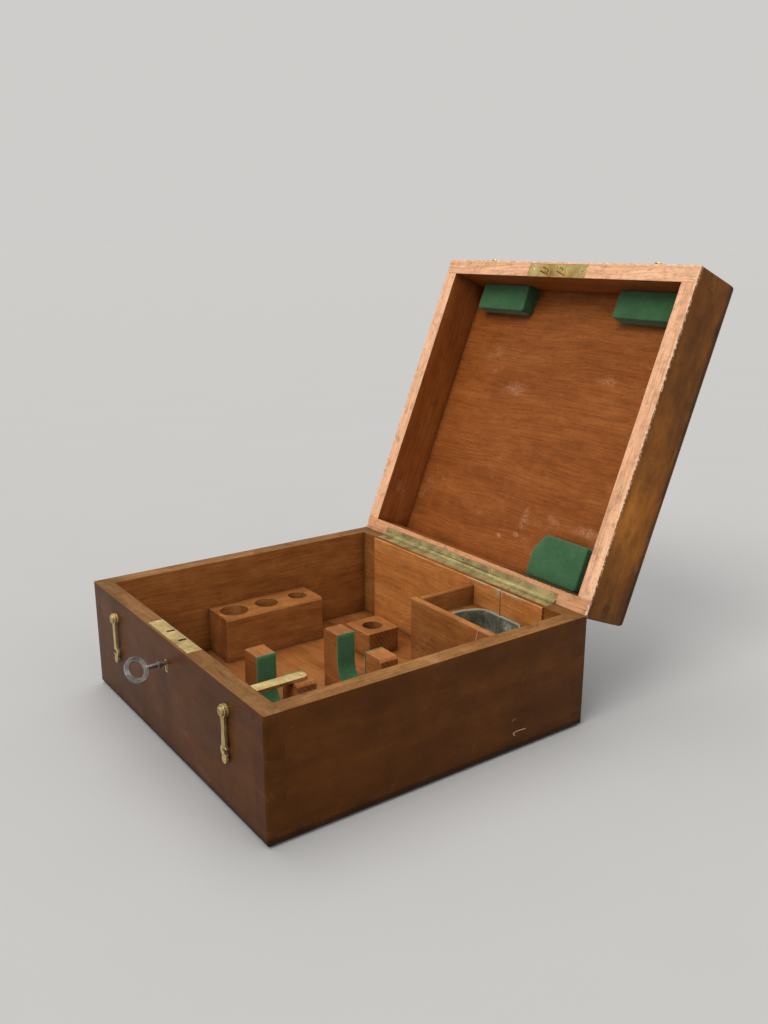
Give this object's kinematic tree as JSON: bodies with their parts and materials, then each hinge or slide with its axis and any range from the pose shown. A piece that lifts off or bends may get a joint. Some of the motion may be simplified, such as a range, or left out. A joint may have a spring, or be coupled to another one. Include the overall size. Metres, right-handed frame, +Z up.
{
  "type": "fitted instrument case with hinged lid",
  "caption": "Open dovetailed mahogany case with a strap-hinged lid, lined socket and cradle inside, lid pads, lock with key, swing hooks and a drop handle.",
  "frame": {"origin": "centre of the underside", "axes": "+X right seen from the front, +Y towards the hinge, +Z up; the lid rests open against its stop"},
  "size_m": [0.29, 0.4474, 0.3445],
  "materials": {
    "case_mahogany": "aged varnish over dark red-brown mahogany",
    "fitting_mahogany": "thin worn varnish, bare edges",
    "hinge_brass": "dull olive patina with green stains",
    "fitting_brass": "handled brass, tarnished in the corners",
    "green_baize": "matted woollen cloth",
    "grey_baize": "worn grey-green cloth",
    "key_steel": "darkened steel"
  },
  "bodies": {
    "case": {"case_front_wall": "case_mahogany", "case_back_wall": "case_mahogany", "case_left_wall": "case_mahogany", "case_right_wall": "case_mahogany", "case_base_board": "case_mahogany", "base_screws": "fitting_brass", "hinge_case_leaf": "hinge_brass", "hinge_case_screws": "hinge_brass", "hinge_pin": "hinge_brass", "lock_case": "fitting_brass", "lock_selvedge": "fitting_brass", "lock_screws": "fitting_brass", "keyhole_escutcheon": "fitting_brass", "back_facing_left": "fitting_mahogany", "back_facing_right": "fitting_mahogany", "compartment_front": "fitting_mahogany", "compartment_side": "fitting_mahogany", "telescope_block": "fitting_mahogany", "socket_lining": "grey_baize", "cradle_front": "fitting_mahogany", "cradle_rear": "fitting_mahogany", "cradle_linings": "green_baize", "turn_button_screw": "fitting_brass", "foot_blocks": "fitting_mahogany", "eyepiece_rack": "fitting_mahogany", "hook_pivots": "fitting_brass"},
    "lid": {"lid_front_wall": "case_mahogany", "lid_back_wall": "case_mahogany", "lid_left_wall": "case_mahogany", "lid_right_wall": "case_mahogany", "lid_panel": "case_mahogany", "hinge_lid_leaf": "hinge_brass", "hinge_lid_screws": "hinge_brass", "lock_link_plate": "fitting_brass", "link_plate_screws": "fitting_brass", "corner_pad_core": "fitting_mahogany", "corner_pad_baize": "green_baize", "front_pad_cores": "fitting_mahogany", "front_pad_baize": "green_baize", "hook_studs": "fitting_brass", "handle_ears": "fitting_brass", "handle_screws": "fitting_brass"},
    "handle": {"handle_bail": "fitting_brass"},
    "left_hook": {"hook_left": "fitting_brass"},
    "right_hook": {"hook_right": "fitting_brass"},
    "button": {"turn_button": "fitting_brass"},
    "key_body": {"key": "key_steel"},
    "bolt": {"lock_bolt": "fitting_brass"}
  },
  "joints": [
    {"name": "lid_hinge", "type": "hinge", "parent": "case", "child": "lid", "pos_m": [0, 0.1355, 0.0901], "axis": [1, 0, 0], "range_deg": [0, 112]},
    {"name": "handle_swing", "type": "hinge", "parent": "lid", "child": "handle", "pos_m": [0, 0.23809, 0.19479], "axis": [1, 0, 0], "range_deg": [-14.5, 150.5]},
    {"name": "left_hook_swing", "type": "hinge", "parent": "case", "child": "left_hook", "pos_m": [-0.095, -0.1397, 0.074], "axis": [0, 1, 0], "range_deg": [-90, 180]},
    {"name": "right_hook_swing", "type": "hinge", "parent": "case", "child": "right_hook", "pos_m": [0.095, -0.1397, 0.074], "axis": [0, -1, 0], "range_deg": [-90, 180]},
    {"name": "button_turn", "type": "hinge", "parent": "case", "child": "button", "pos_m": [0.055, -0.06, 0.059], "axis": [0, 0, -1], "range_deg": [-90, 90]},
    {"name": "key_turn", "type": "hinge", "parent": "case", "child": "key_body", "pos_m": [0, -0.1375, 0.071], "axis": [0, 1, 0], "range_deg": [0, 90]},
    {"name": "bolt_throw", "type": "slide", "parent": "case", "child": "bolt", "axis": [1, 0, 0], "range_m": [0, 0.005]}
  ],
  "couplings": [
    {"joint": "bolt_throw", "follows": "key_turn", "m_per_rad": 0.003183}
  ]
}
